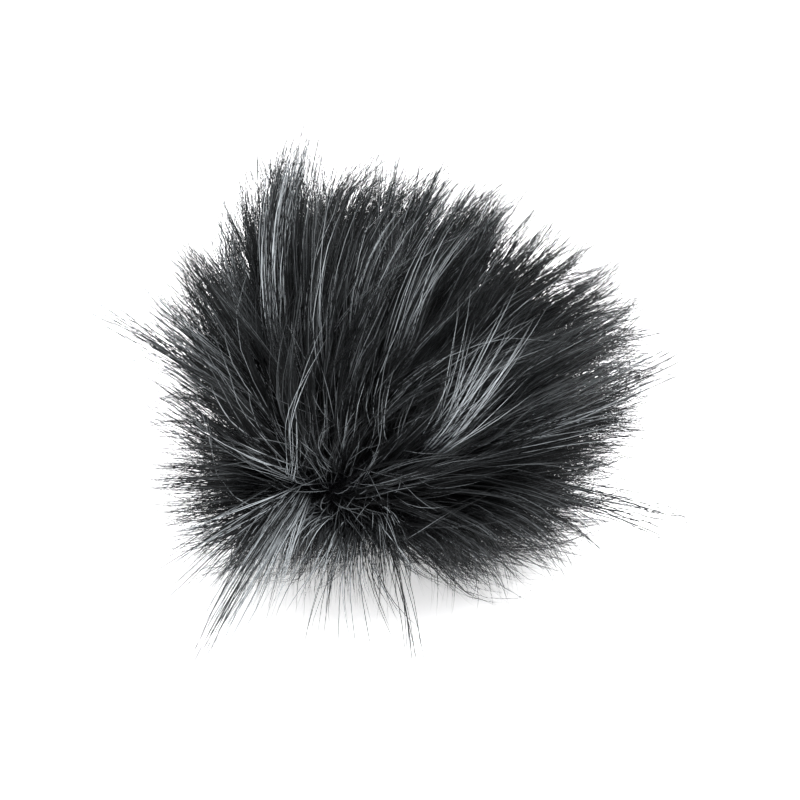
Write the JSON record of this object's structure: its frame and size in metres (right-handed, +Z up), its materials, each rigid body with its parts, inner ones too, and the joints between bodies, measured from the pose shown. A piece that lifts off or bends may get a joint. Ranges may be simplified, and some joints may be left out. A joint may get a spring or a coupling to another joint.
{
  "type": "furry windscreen",
  "caption": "Small slip-on furry microphone windscreen: a fluffy two-panel faux-fur cover with an elastic neck, over a pull-out foam core bored for a small capsule, lying on its side.",
  "frame": {"origin": "centre of the foam core's open end, on the axis of the capsule bore", "axes": "+Y along the bore, out of the neck; the closed crown points to -Y; +Z up with the cover lying on its side; the panel seam lies in the plane Z = 0"},
  "size_m": [0.059, 0.0595, 0.0475],
  "materials": {
    "guard_hair": "matte",
    "underfur": "matte",
    "knit_backing": "matte",
    "foam": "matte",
    "binding_tape": "matte",
    "elastic": "matte",
    "splice_sleeve": "satin",
    "thread": "satin"
  },
  "bodies": {
    "cover": {"upper_backing": "knit_backing", "lower_backing": "knit_backing", "upper_underfur": "underfur", "lower_underfur": "underfur", "upper_guard_hair": "guard_hair", "lower_guard_hair": "guard_hair", "panel_seam_thread": "thread", "binding_stitches": "thread", "neck_binding": "binding_tape", "neck_elastic": "elastic", "elastic_splice": "splice_sleeve"},
    "foam": {"foam_core": "foam"}
  },
  "joints": [
    {"name": "foam_slide", "type": "slide", "parent": "cover", "child": "foam", "axis": [0, 1, 0], "range_m": [0, 0.06]}
  ]
}
